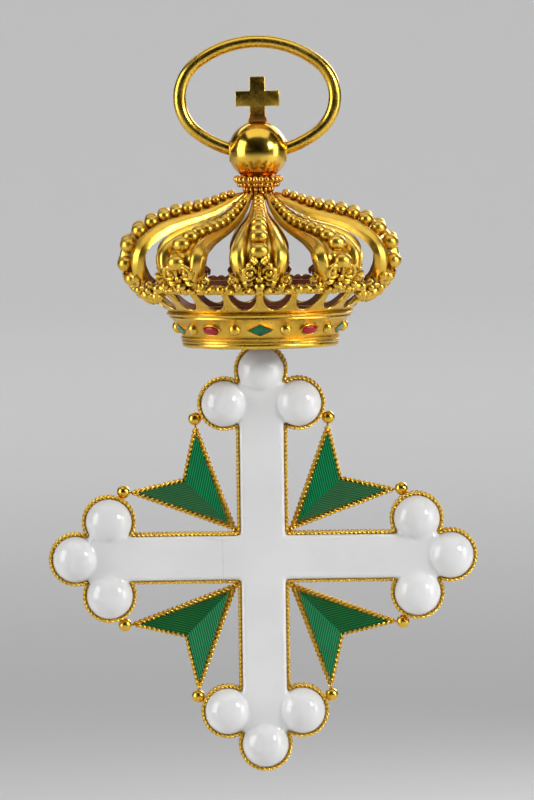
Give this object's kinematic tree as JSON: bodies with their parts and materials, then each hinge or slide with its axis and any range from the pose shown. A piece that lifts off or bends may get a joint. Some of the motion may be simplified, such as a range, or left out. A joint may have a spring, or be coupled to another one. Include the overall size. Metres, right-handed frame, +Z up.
{
  "type": "grand cross badge",
  "caption": "Hanging sash badge: a white enamelled trefoil cross with green swallow-tailed rays, hinged under an arched gold crown with orb, small cross and oval ring.",
  "frame": {"origin": "inside top of the suspension ring, where the sash's loop carries it", "axes": "+Z up with the badge hanging, -Y out of its front, +X to the right seen from the front"},
  "size_m": [0.0642, 0.0438, 0.1104],
  "materials": {
    "polished_gold": "polished gold",
    "chased_gold": "chased and matted gold",
    "white_enamel": "glossy opaque white enamel",
    "green_enamel": "translucent green enamel over engine-turned lines",
    "green_stone": "faceted green",
    "red_stone": "polished red"
  },
  "bodies": {
    "ring": {"suspension_ring": "polished_gold"},
    "crown": {"small_cross": "polished_gold", "orb": "polished_gold", "neck": "chased_gold", "arch_1": "chased_gold", "arch_2": "chased_gold", "arch_3": "chased_gold", "arch_4": "chased_gold", "arch_5": "chased_gold", "arch_6": "chased_gold", "arch_7": "chased_gold", "arch_8": "chased_gold", "arch_9": "chased_gold", "arch_10": "chased_gold", "wreath": "chased_gold", "crown_band": "chased_gold", "green_lozenge_1": "green_stone", "green_lozenge_2": "green_stone", "green_lozenge_3": "green_stone", "green_lozenge_4": "green_stone", "green_lozenge_5": "green_stone", "red_oval_1": "red_stone", "red_oval_2": "red_stone", "red_oval_3": "red_stone", "red_oval_4": "red_stone", "red_oval_5": "red_stone", "hinge_bar": "chased_gold"},
    "cross": {"cross_frame": "chased_gold", "white_enamel_front": "white_enamel", "white_enamel_back": "white_enamel", "ray_enamel_front_1": "green_enamel", "ray_enamel_front_2": "green_enamel", "ray_enamel_front_3": "green_enamel", "ray_enamel_front_4": "green_enamel", "ray_enamel_back_1": "green_enamel", "ray_enamel_back_2": "green_enamel", "ray_enamel_back_3": "green_enamel", "ray_enamel_back_4": "green_enamel"}
  },
  "joints": [
    {"name": "ring_swing", "type": "hinge", "parent": "ring", "child": "crown", "pos_m": [0, 0, -0.01542], "axis": [1, 0, 0], "range_deg": [-90, 90]},
    {"name": "cross_swing", "type": "hinge", "parent": "crown", "child": "cross", "pos_m": [0, 0, -0.0424], "axis": [1, 0, 0], "range_deg": [-40, 40]}
  ]
}
